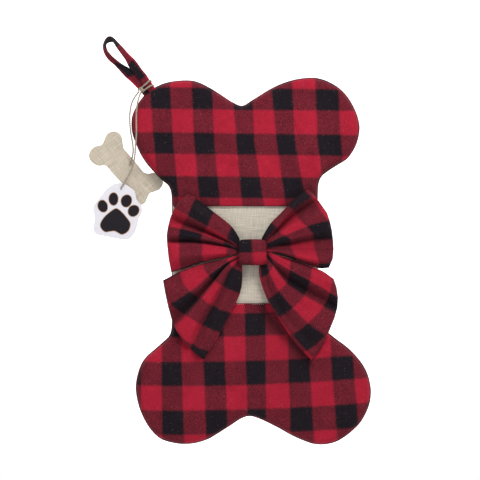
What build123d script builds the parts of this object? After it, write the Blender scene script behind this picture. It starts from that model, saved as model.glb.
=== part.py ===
from build123d import *
import math
import os

# Bone-shaped fabric pet stocking that hangs from a tape loop, with a bow and two tags on twine.
# Units are millimetres. +Z is up and -Y is the decorated front.
# The origin is the point where a hook carries the hanging loop, at the top of the loop's eye.

# ---- driving dimensions ----
FRONT_DEPTH = 11.0        # front of the head and foot panels, ahead of the side seam plane (Y = 0)
FRONT_ROUND = 9.0         # rounding of the padded front towards the side seam
BACK_DEPTH = 9.0          # back of the stocking, behind the side seam plane
BACK_ROUND = 7.0
FLANNEL = 1.6             # plaid flannel with its turned edge
INSET_LINING = 4.6        # where the lining ends, inwards from the outline
INSET_WADDING_FRONT = 9.5 # where the front wadding ends
INSET_WADDING_BACK = 8.0  # where the back wadding ends
POCKET_FRONT = 5.4        # half depths of the pocket
POCKET_BACK = 4.0
LINING = 0.9
LINEN_FRONT = 7.5         # front of the linen panel between head and foot
LINEN_TOP_Z = -193.8      # raw top edge of the linen, hidden behind the hemmed flap
FOOT_SEAM_Z = -326.2      # seam between the linen and the foot panel
HEM_Z = -203.8            # hem of the head panel, which is the pocket's mouth
FLAP_HINGE_Z = -171.4     # where the hemmed flap folds up
FLAP_X = (85.6, 247.6)
FLAP_BACK = 8.2           # the flap's inner face
FLAP_LINING = 0.8
SEAM_ALLOWANCE = (4.9, 12.0)   # the turned edges, inwards from the outline

TAPE_MID_Y = -3.2         # mid plane of the doubled loop tape
TAPE_THICK = 5.0
TAPE_ROOT_HALF_WIDTH = 8.6
HINGE = (37.4, TAPE_MID_Y, -48.1)       # the tape folds here, just above the twine
TAPE_ACROSS = (0.779, 0.0, 0.627)       # across the tape, which is the fold's axis
TAPE_DOWN = (0.627, 0.0, -0.779)        # along the tape, towards the stocking

TWINE_D = 1.9
WRAP_AT = (6.2, 11.6)     # distances of the two turns of twine below the fold
TWINE_KNOT = (37.9, -8.8, -58.6)
TWINE_KNOT_R = 2.6

BONE_TAG_Y = (6.6, 7.3, 8.9)            # linen face, backing board, back
PAW_TAG_Y = (-2.0, -1.1, 1.9)             # felt pads, plate front, plate back
TAG_HOLE_R = 1.5
BONE_HOLE = (23.5, -150.4)
PAW_HOLE = (12.3, -181.0)

BOW_LOOP_Y = (-12.0, -22.0)
BOW_TAIL_Y = (-12.0, -20.0)
KNOT_X = (159.0, 193.2)
KNOT_Z = (-278.0, -245.4)
KNOT_Y = (-7.5, -30.0)
KNOT_WRAP = 2.4

# ---- outlines, as X, Z pairs ----
BODY = [
    (163.1, -79.0), (175.6, -72.2), (195.6, -59.8), (215.6, -50.2), (235.6, -45.0),
    (255.6, -44.0), (275.6, -51.0), (291.9, -64.0), (303.1, -81.8), (309.4, -101.9),
    (307.5, -120.0), (298.9, -138.2), (281.9, -151.9), (270.6, -159.1), (262.6, -165.6),
    (258.6, -173.8), (257.4, -186.2), (257.2, -215.0), (257.2, -252.5), (257.2, -296.2),
    (257.4, -331.2), (263.9, -357.0), (271.9, -364.0), (281.9, -371.8), (300.6, -387.0),
    (315.6, -406.0), (323.5, -431.2), (321.4, -453.1), (310.0, -475.2), (290.6, -492.5),
    (268.1, -501.2), (240.6, -496.8), (225.6, -490.0), (210.6, -481.6), (195.6, -474.0),
    (183.1, -468.5), (161.9, -469.0), (145.6, -479.5), (130.6, -489.0), (105.6, -499.5),
    (75.6, -499.1), (51.2, -485.2), (36.4, -459.0), (30.9, -430.0), (37.1, -403.2),
    (54.4, -383.8), (72.6, -366.8), (76.1, -343.8), (76.1, -265.0), (76.2, -227.5),
    (76.1, -200.0), (75.1, -186.2), (71.4, -177.2), (63.1, -170.2), (52.4, -159.2),
    (43.6, -149.0), (36.6, -137.8), (30.6, -124.2), (26.6, -112.5), (26.6, -90.6),
    (38.1, -69.4), (55.6, -55.2), (79.4, -48.0), (103.1, -48.0), (123.1, -56.8),
    (149.4, -73.5),
]

LOOP_OUTER = [
    (-2.9, 8.5), (0.1, 7.9), (6.8, 1.6), (14.0, -5.8), (20.6, -13.1),
    (28.0, -20.0), (33.1, -26.2), (38.2, -33.6), (43.4, -39.5), (45.9, -43.6),
    (48.6, -51.2), (43.1, -61.2), (35.0, -59.3), (30.1, -54.1), (24.3, -48.2),
    (17.0, -41.8), (9.6, -33.6), (3.0, -26.2), (-2.1, -21.9), (-6.5, -16.8),
    (-9.7, -10.1), (-10.7, -2.9), (-9.1, 2.2), (-6.1, 7.5),
]

LOOP_EYE = [
    (-3.2, 0.5), (0.0, 1.0), (2.6, 0.8), (4.5, -1.4), (6.8, -5.8),
    (10.4, -10.9), (14.0, -16.0), (17.0, -20.4), (19.9, -25.6), (21.6, -30.4),
    (18.5, -29.5), (13.2, -26.8), (8.9, -24.1), (4.5, -20.4), (0.9, -17.1),
    (-2.9, -14.5), (-5.4, -10.1), (-7.0, -5.0), (-6.1, -1.5),
]

BONE_TAG = [
    (3.9, -109.6), (9.6, -112.5), (13.0, -118.2), (13.6, -124.5), (15.4, -131.6),
    (20.1, -137.4), (24.5, -142.2), (30.6, -149.4), (35.5, -155.6), (40.7, -161.5),
    (47.0, -162.6), (52.3, -161.6), (58.4, -163.8), (62.6, -168.2), (64.4, -173.2),
    (63.2, -178.1), (59.4, -182.9), (53.6, -185.2), (47.6, -187.6), (44.5, -193.4),
    (42.1, -198.6), (36.9, -202.0), (30.6, -200.5), (26.1, -195.5), (24.4, -188.8),
    (19.4, -180.8), (10.6, -172.8), (3.9, -165.6), (-2.8, -158.0), (-7.1, -153.2),
    (-11.4, -152.5), (-16.2, -153.0), (-21.9, -150.9), (-26.8, -146.5), (-28.9, -140.2),
    (-26.8, -133.6), (-21.9, -129.2), (-16.2, -127.6), (-11.9, -125.8), (-9.3, -119.8),
    (-6.6, -114.0), (-2.4, -110.9),
]

PAW_PLATE = [
    (11.5, -174.8), (17.2, -176.6), (23.0, -180.5), (28.2, -184.8), (30.2, -191.5),
    (31.6, -196.8), (36.4, -202.0), (38.1, -208.8), (36.0, -214.5), (33.5, -220.1),
    (32.1, -226.9), (29.8, -234.5), (25.9, -240.2), (21.1, -245.0), (16.4, -246.0),
    (9.6, -245.0), (3.0, -243.6), (-4.7, -242.1), (-11.4, -240.8), (-17.1, -239.8),
    (-21.0, -237.0), (-22.9, -231.6), (-21.9, -224.0), (-21.1, -217.2), (-23.1, -209.5),
    (-22.8, -203.9), (-19.1, -198.1), (-15.3, -193.4), (-11.4, -188.6), (-7.6, -183.9),
    (-2.8, -179.5), (3.0, -176.1), (7.8, -175.0),
]

PAW_PALM = [
    (6.8, -207.2), (11.5, -210.6), (17.2, -216.9), (22.1, -223.5), (23.0, -227.9),
    (21.1, -233.6), (17.2, -237.4), (12.5, -238.9), (7.8, -236.5), (3.4, -234.5),
    (-1.9, -235.0), (-7.6, -235.8), (-11.9, -232.6), (-14.0, -227.9), (-12.4, -222.6),
    (-7.6, -216.4), (-0.9, -210.6), (3.9, -207.5),
]

BOW_LOOP_LEFT = [
    (157.1, -247.0), (153.8, -240.0), (145.6, -227.0), (121.4, -206.0), (109.0, -196.2),
    (96.9, -189.5), (86.2, -198.1), (76.2, -215.0), (70.9, -237.5), (71.4, -258.8),
    (74.1, -282.0), (83.1, -283.2), (100.6, -273.5), (124.4, -265.5), (157.1, -260.8),
]

BOW_LOOP_RIGHT = [
    (194.9, -245.5), (196.4, -233.8), (203.8, -220.6), (215.6, -204.4), (225.1, -196.1),
    (241.0, -185.0), (246.9, -182.5), (257.8, -196.2), (266.9, -211.2), (272.8, -225.6),
    (276.1, -242.5), (276.4, -258.8), (274.4, -270.5), (269.9, -277.8), (258.1, -277.0),
    (231.2, -260.4), (213.1, -255.8), (194.9, -257.0),
]

BOW_TAIL_LEFT = [
    (156.6, -265.8), (141.9, -269.5), (114.4, -277.0), (85.6, -288.8), (65.9, -297.0),
    (72.6, -329.5), (78.1, -350.0), (94.4, -374.4), (113.1, -393.2), (132.6, -361.2),
    (145.6, -338.0), (158.6, -314.2), (161.9, -291.2), (161.9, -284.4), (156.4, -283.2),
]

BOW_TAIL_RIGHT = [
    (196.4, -264.5), (225.6, -273.0), (256.9, -285.0), (276.4, -295.0), (281.4, -311.2),
    (278.1, -335.9), (268.0, -358.1), (267.4, -368.8), (250.1, -393.8), (229.4, -370.9),
    (208.9, -347.0), (191.6, -320.0), (186.1, -298.8), (185.6, -284.4), (196.4, -283.2),
]


# toes of the paw: centre X, centre Z, half width, half height, lean in degrees
PAW_TOES = [
    (-11.2, -203.9, 5.4, 7.2, 18.0),
    (2.2, -194.9, 5.2, 7.4, 0.0),
    (18.4, -197.2, 6.0, 7.2, -14.0),
    (27.0, -209.6, 5.8, 6.8, -40.0),
]

# the two ends of the twine, from the knot to the tags, as X, Y, Z points joined by tangent arcs
STRAND_TO_BONE = [
    (34.9, -8.8, -60.9), (27.4, -7.1, -69.5), (23.4, -5.5, -81.9), (22.7, -5.0, -97.5),
    (23.9, -4.0, -112.5), (27.1, -1.0, -128.8), (26.4, 0.8, -141.2), (23.5, 5.0, -150.4),
]
STRAND_TO_PAW = [
    (36.9, -9.6, -62.2), (34.3, -11.2, -69.4), (31.8, -12.6, -81.9), (31.4, -12.8, -97.5),
    (31.9, -12.2, -113.8), (30.2, -9.6, -128.8), (29.4, -6.6, -143.8), (23.9, -3.5, -163.1),
    (12.6, -2.7, -179.8),
]


# ---- helpers ----
def inset(points, d):
    """The closed outline moved inwards by d along its local normals."""
    n = len(points)
    area = sum(points[i][0] * points[(i + 1) % n][1] - points[(i + 1) % n][0] * points[i][1] for i in range(n))
    sign = 1.0 if area > 0 else -1.0
    out = []
    for i in range(n):
        (ax, az), (bx, bz) = points[i - 1], points[(i + 1) % n]
        tx, tz = bx - ax, bz - az
        length = math.hypot(tx, tz)
        out.append((points[i][0] - sign * tz / length * d, points[i][1] + sign * tx / length * d))
    return out


def soften(points, turns=2):
    """Corner cutting, so that a curve through the result keeps to the outline."""
    for _ in range(turns):
        cut = []
        for i, a in enumerate(points):
            b = points[(i + 1) % len(points)]
            cut.append((a[0] * 0.78 + b[0] * 0.22, a[1] * 0.78 + b[1] * 0.22))
            cut.append((a[0] * 0.22 + b[0] * 0.78, a[1] * 0.22 + b[1] * 0.78))
        points = cut
    return points


def slab(points, y0, y1):
    """A closed outline in the XZ plane, extruded from y0 to y1."""
    wire = Wire([Spline([Vector(x, y0, z) for x, z in points], periodic=True)])
    face = Face(wire)
    return extrude(face, amount=abs(y1 - y0), dir=Vector(0, 1 if y1 > y0 else -1, 0))


def slab_poly(points, y0, y1):
    face = Face(Wire.make_polygon([Vector(x, y0, z) for x, z in points], close=True))
    return extrude(face, amount=abs(y1 - y0), dir=Vector(0, 1 if y1 > y0 else -1, 0))


def pillow(points, y0, y1, r):
    """A slab whose far rim is rounded by r."""
    s = slab(points, y0, y1)
    rim = s.edges().sort_by(Axis.Y)[0 if y1 < y0 else -1]
    return fillet(rim, r)


def block(x0, x1, y0, y1, z0, z1):
    return Pos((x0 + x1) / 2, (y0 + y1) / 2, (z0 + z1) / 2) * Box(abs(x1 - x0), abs(y1 - y0), abs(z1 - z0))


def along_tape(u, y, t):
    """A point u across the tape, t down it, at height y."""
    return Vector(
        HINGE[0] + TAPE_ACROSS[0] * u + TAPE_DOWN[0] * t,
        y,
        HINGE[2] + TAPE_ACROSS[2] * u + TAPE_DOWN[2] * t,
    )


def unit(a, b):
    v = [b[i] - a[i] for i in range(3)]
    length = math.sqrt(sum(c * c for c in v))
    return [c / length for c in v], length


def arc_radii(points):
    radii = []
    for i in range(1, len(points) - 1):
        d0, l0 = unit(points[i - 1], points[i])
        d1, l1 = unit(points[i], points[i + 1])
        dot = max(-1.0, min(1.0, sum(d0[k] * d1[k] for k in range(3))))
        half = math.acos(dot) / 2
        radii.append(0.45 * min(l0, l1) / math.tan(half))
    return radii


def twine(points, name):
    radii = arc_radii(points)
    line = FilletPolyline(*points, radius=radii)
    length = sum(e.length for e in line.edges())
    start = line @ 0
    tangent = line % 0
    tube = sweep(Plane(origin=start, z_dir=tangent) * Circle(TWINE_D / 2), path=line)
    expected = math.pi * (TWINE_D / 2) ** 2 * length
    print(name, "length", round(length, 1), "radii", [round(r, 1) for r in radii],
          "volume ratio", round(tube.volume / expected, 4))
    return tube


parts = {}


def keep(name, shape):
    solids = shape.solids()
    parts[name] = solids[0] if len(solids) == 1 else Compound(children=list(solids))
    print(name, len(solids), "solids, volume", round(sum(s.volume for s in solids), 1))


# ---- the padded front and back, as nested shells ----
front0 = pillow(BODY, 0, -FRONT_DEPTH, FRONT_ROUND)
front1 = pillow(inset(BODY, FLANNEL), 0, -(FRONT_DEPTH - FLANNEL), FRONT_ROUND - FLANNEL)
back0 = pillow(BODY, 0, BACK_DEPTH, BACK_ROUND)
back1 = pillow(inset(BODY, FLANNEL), 0, BACK_DEPTH - FLANNEL, BACK_ROUND - FLANNEL)

# the sewn-in end of the loop tape runs between the front and the back
root_len = (2.9, 30.0)
tape_root = Box(2 * TAPE_ROOT_HALF_WIDTH, TAPE_THICK, root_len[1] - root_len[0])
tape_root = fillet(tape_root.edges().filter_by(Axis.Z), TAPE_THICK / 2 - 0.02)
root_mid = along_tape(0, TAPE_MID_Y, sum(root_len) / 2)
tape_root = Plane(origin=root_mid, x_dir=TAPE_ACROSS, z_dir=(-TAPE_DOWN[0], 0, -TAPE_DOWN[2])) * tape_root

HEAD_BOTTOM_Z = FLAP_HINGE_Z + 1.7
BIG = 400
head_zone = block(-BIG, BIG, -60, 60, HEAD_BOTTOM_Z, BIG)
strip_left = block(-BIG, FLAP_X[0] - 0.4, -60, 60, HEM_Z, HEAD_BOTTOM_Z)
strip_right = block(FLAP_X[1] + 0.4, BIG, -60, 60, HEM_Z, HEAD_BOTTOM_Z)
shaft_zone = block(-BIG, BIG, -60, 60, FOOT_SEAM_Z, HEM_Z)
foot_zone = block(-BIG, BIG, -60, 60, -BIG - 200, FOOT_SEAM_Z)

front_skin = front0 - front1
front_wad = slab_poly(inset(BODY, INSET_WADDING_FRONT), -(POCKET_FRONT + LINING) - 0.1, -(FRONT_DEPTH - FLANNEL) + 0.1)
front_line = slab_poly(inset(BODY, INSET_LINING), -POCKET_FRONT, -(POCKET_FRONT + LINING))
back_wad = slab_poly(inset(BODY, INSET_WADDING_BACK), POCKET_BACK + LINING + 0.1, BACK_DEPTH - FLANNEL - 0.1)
back_line = slab_poly(inset(BODY, INSET_LINING), POCKET_BACK, POCKET_BACK + LINING)

keep("head_front_panel", front_skin & (head_zone + strip_left + strip_right) - tape_root)
keep("head_front_batting", (front_wad & head_zone) - tape_root)
keep("head_front_lining", (front_line & head_zone) - tape_root)
keep("foot_front_panel", front_skin & foot_zone)
keep("foot_front_batting", front_wad & foot_zone)

# linen lies lower than the padded panels and its top edge tucks in behind the flap
linen = block(76.3, 257.1, -LINEN_FRONT, 0, FOOT_SEAM_Z, HEM_Z)
linen = fillet(linen.edges().filter_by(Axis.Z).group_by(Axis.Y)[0], 5.0)
linen = linen - block(80.4, 253.0, -(POCKET_FRONT + LINING), 1, FOOT_SEAM_Z - 1, HEM_Z + 1)
tuck = block(FLAP_X[0] + 1, FLAP_X[1] - 1, -LINEN_FRONT, -(POCKET_FRONT + LINING), HEM_Z - 1, LINEN_TOP_Z)
keep("linen_shaft_panel", linen + tuck)
lining_zone = block(-BIG, BIG, -60, 0, -BIG - 200, LINEN_TOP_Z)
keep("pocket_front_lining", front_line & lining_zone)

keep("back_panel", (back0 - back1) - tape_root)
keep("back_batting", back_wad - tape_root)
keep("back_lining", back_line - tape_root)

# turned seam allowance, inside the pocket's edge
ring = slab_poly(inset(BODY, SEAM_ALLOWANCE[0]), -1.1, 1.1) - slab_poly(inset(BODY, SEAM_ALLOWANCE[1]), -1.1, 1.1)
for side in (block(60, 81.0, -5, 5, FOOT_SEAM_Z - 1, HEM_Z + 1), block(252.4, 270, -5, 5, FOOT_SEAM_Z - 1, HEM_Z + 1)):
    ring = ring - side
keep("side_seam_allowance", ring - tape_root)
keep("loop_tape_root", tape_root)

# ---- the hemmed flap that closes the mouth ----
flap_round = (FRONT_DEPTH - FLAP_BACK) / 2
flap = block(FLAP_X[0], FLAP_X[1], -FRONT_DEPTH, -FLAP_BACK, HEM_Z, FLAP_HINGE_Z)
flap_top = Pos((FLAP_X[0] + FLAP_X[1]) / 2, -FLAP_BACK - flap_round, FLAP_HINGE_Z) * (
    Rot(0, 90, 0) * Cylinder(flap_round, FLAP_X[1] - FLAP_X[0])
)
flap = flap + flap_top
lining_cut = block(-BIG, BIG, -FLAP_BACK - FLAP_LINING, 0, -BIG, FLAP_HINGE_Z - 3.0)
keep("mouth_flap", flap - lining_cut)
keep("mouth_flap_hem_facing", flap & lining_cut & block(-BIG, BIG, -60, 60, HEM_Z + 0.0, FLAP_HINGE_Z - 3.0))

# ---- hanging loop ----
loop_outer = slab(soften(LOOP_OUTER, 1), TAPE_MID_Y - TAPE_THICK / 2, TAPE_MID_Y + TAPE_THICK / 2)
loop_eye = slab(soften(LOOP_EYE, 1), TAPE_MID_Y - 10, TAPE_MID_Y + 10)
below_fold = Plane(origin=along_tape(0, 0, 50), x_dir=TAPE_ACROSS, z_dir=(-TAPE_DOWN[0], 0, -TAPE_DOWN[2])) * Box(200, 60, 100)
tape = loop_outer - loop_eye - below_fold
nose = Plane(origin=along_tape(0, TAPE_MID_Y, 0), x_dir=(0, 1, 0), z_dir=TAPE_ACROSS) * Cylinder(TAPE_THICK / 2, 2 * TAPE_ROOT_HALF_WIDTH - 0.4)
keep("hanging_loop", tape + nose)

# ---- twine hitched twice round the tape, with its knot ----
ring_r = TAPE_THICK / 2 + TWINE_D / 2 + 0.05
ring_u = TAPE_ROOT_HALF_WIDTH - TAPE_THICK / 2
wraps = []
for t in WRAP_AT:
    c = along_tape(0, TAPE_MID_Y, t)
    frame_plane = Plane(origin=c, x_dir=TAPE_ACROSS, z_dir=TAPE_DOWN)
    turn = frame_plane * SlotCenterToCenter(2 * ring_u, 2 * ring_r)
    path = turn.face().outer_wire()
    start = path @ 0
    wraps.append(sweep(Plane(origin=start, z_dir=path % 0) * Circle(TWINE_D / 2), path=path))
wrap_pair = Compound(children=[s for w in wraps for s in w.solids()])
parts["twine_wraps"] = wrap_pair
print("twine_wraps", len(wrap_pair.solids()), round(wrap_pair.volume, 1))
knot = Pos(*TWINE_KNOT) * Sphere(TWINE_KNOT_R)
for s in wrap_pair.solids():
    knot = knot - s
knot = knot - tape_root
parts["twine_knot"] = max(knot.solids(), key=lambda s: s.volume)

parts["twine_to_bone_tag"] = twine(STRAND_TO_BONE, "twine_to_bone_tag").solids()[0]
parts["twine_to_paw_tag"] = twine(STRAND_TO_PAW, "twine_to_paw_tag").solids()[0]


# ---- tags ----
def hole(p, r, y0, y1):
    return Pos(p[0], (y0 + y1) / 2, p[1]) * (Rot(90, 0, 0) * Cylinder(r, abs(y1 - y0)))


bone_outline = [(x - 0.5, z) for x, z in BONE_TAG]
bone_face = slab(bone_outline, BONE_TAG_Y[1], BONE_TAG_Y[0])
bone_board = slab(bone_outline, BONE_TAG_Y[1], BONE_TAG_Y[2])
bone_hole = hole(BONE_HOLE, TAG_HOLE_R, 0, 20)
keep("bone_tag_linen", bone_face - bone_hole)
keep("bone_tag_backing", bone_board - bone_hole)

paw_plate = slab(PAW_PLATE, PAW_TAG_Y[1], PAW_TAG_Y[2])
paw_hole = hole(PAW_HOLE, TAG_HOLE_R, 0, 20)
keep("paw_tag_plate", paw_plate - paw_hole)
keep("paw_tag_palm_pad", slab(PAW_PALM, PAW_TAG_Y[1], PAW_TAG_Y[0]))
toes = []
for x, z, a, b, lean in PAW_TOES:
    with BuildSketch(Plane(origin=(x, PAW_TAG_Y[1], z), x_dir=(1, 0, 0), z_dir=(0, -1, 0))) as toe:
        Ellipse(a, b, rotation=lean)
    toes.append(extrude(toe.sketch, amount=PAW_TAG_Y[1] - PAW_TAG_Y[0]))
keep("paw_tag_toe_pads", Compound(children=[s for t in toes for s in t.solids()]))

# ---- bow ----
def bow_lobe(points, ys, r):
    lobe = slab(soften(points, 2), ys[0], ys[1])
    rims = lobe.edges().group_by(Axis.Y)
    for radius in (r, r * 0.7, r * 0.4):
        try:
            return fillet(ShapeList([e for e in rims[0]] + [e for e in rims[-1]]), radius)
        except Exception:
            print("rim rounding of", radius, "is too large")
    return lobe


keep("bow_loop_left", bow_lobe(BOW_LOOP_LEFT, BOW_LOOP_Y, 3.0))
keep("bow_loop_right", bow_lobe(BOW_LOOP_RIGHT, BOW_LOOP_Y, 3.0))
keep("bow_tail_left", bow_lobe(BOW_TAIL_LEFT, BOW_TAIL_Y, 2.0))
keep("bow_tail_right", bow_lobe(BOW_TAIL_RIGHT, BOW_TAIL_Y, 2.0))

knot_block = block(KNOT_X[0], KNOT_X[1], KNOT_Y[0], KNOT_Y[1], KNOT_Z[0], KNOT_Z[1])
knot_block = fillet(knot_block.edges().filter_by(Axis.X), 7.0)
knot_block = fillet(knot_block.faces().sort_by(Axis.X)[0].outer_wire().edges() + knot_block.faces().sort_by(Axis.X)[-1].outer_wire().edges(), 2.0)
core = block(KNOT_X[0] + 0.0, KNOT_X[1] - 0.0, KNOT_Y[0] - KNOT_WRAP, KNOT_Y[1] + KNOT_WRAP, KNOT_Z[0] + KNOT_WRAP, KNOT_Z[1] - KNOT_WRAP)
core = fillet(core.edges().filter_by(Axis.X), 4.6)
keep("bow_knot_wrap", knot_block - core)
keep("bow_gathered_centre", core & block(KNOT_X[0] + 1.2, KNOT_X[1] - 1.2, -60, 60, -BIG, 0))

os.makedirs("parts", exist_ok=True)
for name, shape in parts.items():
    export_step(shape, os.path.join("parts", name + ".step"))
print(len(parts), "nodes written")
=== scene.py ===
import bpy
import bmesh
import math
import numpy as np
from mathutils import Vector, Matrix, noise
from mathutils.geometry import delaunay_2d_cdt


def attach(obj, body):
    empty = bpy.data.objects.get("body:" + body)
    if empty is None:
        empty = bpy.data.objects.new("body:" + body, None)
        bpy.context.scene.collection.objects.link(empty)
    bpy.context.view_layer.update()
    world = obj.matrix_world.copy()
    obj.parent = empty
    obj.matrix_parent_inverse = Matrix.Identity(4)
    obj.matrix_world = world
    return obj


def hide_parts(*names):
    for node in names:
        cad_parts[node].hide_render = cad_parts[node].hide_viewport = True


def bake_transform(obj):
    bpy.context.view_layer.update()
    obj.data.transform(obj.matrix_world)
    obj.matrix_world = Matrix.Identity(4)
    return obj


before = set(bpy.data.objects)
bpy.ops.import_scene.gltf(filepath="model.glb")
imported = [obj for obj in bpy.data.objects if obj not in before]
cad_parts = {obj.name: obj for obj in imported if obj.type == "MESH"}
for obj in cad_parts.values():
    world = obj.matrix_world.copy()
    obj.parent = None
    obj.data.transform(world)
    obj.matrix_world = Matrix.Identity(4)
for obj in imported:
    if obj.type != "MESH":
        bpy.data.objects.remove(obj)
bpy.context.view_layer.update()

G = 0.00125                       # drafting grid step in metres; x to the right, y down, from the sheet's corner
OX, OY = 111.5, 43.0              # the hook point on that sheet


def gx(x):
    return (x - OX) * G


def gz(y):
    return (OY - y) * G


def lin(c):
    out = []
    for v in c:
        v = v / 255.0
        out.append(v / 12.92 if v <= 0.04045 else ((v + 0.055) / 1.055) ** 2.4)
    return (*out, 1.0)


# ------------------------------------------------------------------ materials
class Graph:
    def __init__(self, name):
        self.mat = bpy.data.materials.new(name)
        self.mat.use_nodes = True
        self.t = self.mat.node_tree
        self.t.nodes.clear()
        self.out = self.t.nodes.new("ShaderNodeOutputMaterial")
        self.bsdf = self.t.nodes.new("ShaderNodeBsdfPrincipled")
        self.t.links.new(self.bsdf.outputs[0], self.out.inputs[0])

    def node(self, kind, **kw):
        n = self.t.nodes.new(kind)
        for k, v in kw.items():
            setattr(n, k, v)
        return n

    def link(self, a, b):
        self.t.links.new(a, b)

    def math(self, op, a, b=None, c=None, clamp=False):
        n = self.node("ShaderNodeMath", operation=op, use_clamp=clamp)
        for i, v in enumerate((a, b, c)):
            if v is None:
                continue
            if isinstance(v, (int, float)):
                n.inputs[i].default_value = v
            else:
                self.link(v, n.inputs[i])
        return n.outputs[0]

    def uv(self, name="Cloth"):
        n = self.node("ShaderNodeUVMap")
        n.uv_map = name
        s = self.node("ShaderNodeSeparateXYZ")
        self.link(n.outputs[0], s.inputs[0])
        return n.outputs[0], s.outputs[0], s.outputs[1]

    def obj_coord(self):
        n = self.node("ShaderNodeTexCoord")
        return n.outputs["Object"]

    def noise(self, vec, scale, detail=3.0, rough=0.6):
        n = self.node("ShaderNodeTexNoise")
        n.inputs["Scale"].default_value = scale
        n.inputs["Detail"].default_value = detail
        n.inputs["Roughness"].default_value = rough
        self.link(vec, n.inputs["Vector"])
        return n.outputs["Fac"]

    def mix(self, fac, a, b, mode="MIX"):
        n = self.node("ShaderNodeMix", data_type="RGBA", blend_type=mode)
        if isinstance(fac, (int, float)):
            n.inputs[0].default_value = fac
        else:
            self.link(fac, n.inputs[0])
        for v, i in ((a, 6), (b, 7)):
            if isinstance(v, tuple):
                n.inputs[i].default_value = v
            else:
                self.link(v, n.inputs[i])
        return n.outputs[2]

    def bump(self, height, strength, distance):
        n = self.node("ShaderNodeBump")
        n.inputs["Strength"].default_value = strength
        n.inputs["Distance"].default_value = distance
        self.link(height, n.inputs["Height"])
        self.link(n.outputs[0], self.bsdf.inputs["Normal"])
        return n


RED = lin((186, 30, 54))
MAROON = lin((104, 24, 36))
BLACK = lin((33, 29, 36))


def plaid(name):
    g = Graph(name)
    vec, u, v = g.uv()
    oc = g.obj_coord()
    ragged = g.math("MULTIPLY", g.math("SUBTRACT", g.noise(oc, 900, 2.0), 0.5), 0.20)
    wander = g.math("MULTIPLY", g.math("SUBTRACT", g.noise(oc, 28, 2.0), 0.5), 0.06)
    bands = []
    for c in (u, v):
        d = g.math("PINGPONG", g.math("ADD", g.math("SUBTRACT", c, 0.5), wander), 1.0)
        d = g.math("ADD", d, ragged)
        m = g.node("ShaderNodeMapRange")
        m.interpolation_type = "SMOOTHSTEP"
        g.link(d, m.inputs["Value"])
        m.inputs["From Min"].default_value = 0.44
        m.inputs["From Max"].default_value = 0.56
        m.inputs["To Min"].default_value = 1.0
        m.inputs["To Max"].default_value = 0.0
        bands.append(m.outputs[0])
    total = g.math("ADD", bands[0], bands[1])
    one = g.math("MINIMUM", total, 1.0)
    two = g.math("SUBTRACT", total, 1.0, clamp=True)
    # twill lines: about 26 threads across a check
    diag = g.math("ADD", g.math("MULTIPLY", u, 150.0), g.math("MULTIPLY", v, 150.0))
    twill = g.math("ADD", g.math("MULTIPLY", g.math("SINE", diag), 0.5), 0.5)
    speck = g.noise(oc, 1500, 2.0, 0.7)
    sp = g.node("ShaderNodeMapRange")
    g.link(g.noise(oc, 760, 2.0, 0.7), sp.inputs["Value"])
    sp.inputs["From Min"].default_value = 0.32
    sp.inputs["From Max"].default_value = 0.68
    speck2 = sp.outputs[0]
    cloud = g.noise(oc, 45, 3.0, 0.6)
    maroon_a = g.mix(twill, lin((66, 19, 29)), lin((112, 27, 40)))
    maroon_b = g.mix(speck2, lin((34, 18, 26)), lin((146, 42, 56)))
    maroon = g.mix(0.5, maroon_a, maroon_b)
    red = g.mix(speck2, lin((150, 25, 44)), lin((178, 34, 56)))
    red = g.mix(g.math("MULTIPLY", twill, 0.22), red, lin((120, 22, 36)))
    black = g.mix(speck2, lin((15, 13, 18)), lin((31, 28, 34)))
    lint = g.math("GREATER_THAN", g.noise(oc, 620, 1.0, 0.4), 0.735)
    col = g.mix(one, red, maroon)
    col = g.mix(two, col, black)
    col = g.mix(g.math("MULTIPLY", lint, 0.28), col, lin((150, 120, 124)))
    shade = g.node("ShaderNodeMapRange")
    g.link(cloud, shade.inputs["Value"])
    shade.inputs["From Min"].default_value = 0.3
    shade.inputs["From Max"].default_value = 0.7
    shade.inputs["To Min"].default_value = 0.80
    shade.inputs["To Max"].default_value = 1.0
    hsv = g.node("ShaderNodeHueSaturation")
    g.link(shade.outputs[0], hsv.inputs["Value"])
    g.link(col, hsv.inputs["Color"])
    # painted shade: the second UV map blends the flannel towards near-black where folds, the bow and the tails would
    # shade it
    painted_shade_uv, fold, _ = g.uv("PaintedShade")
    final = g.mix(g.math("MULTIPLY", fold, 0.88), hsv.outputs[0], lin((20, 8, 12)))
    g.link(final, g.bsdf.inputs["Base Color"])
    g.bsdf.inputs["Roughness"].default_value = 0.92
    g.bsdf.inputs["Specular IOR Level"].default_value = 0.07
    g.bsdf.inputs["Sheen Weight"].default_value = 0.06
    g.bsdf.inputs["Sheen Roughness"].default_value = 0.6
    g.bsdf.inputs["Sheen Tint"].default_value = lin((220, 150, 160))
    nap = g.math("ADD", g.math("MULTIPLY", twill, 0.4), g.noise(oc, 2200, 2.0, 0.7))
    nap = g.math("ADD", nap, g.math("MULTIPLY", g.noise(oc, 160, 3.0, 0.6), 1.4))
    g.bump(nap, 0.35, 0.0004)
    return g.mat


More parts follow.
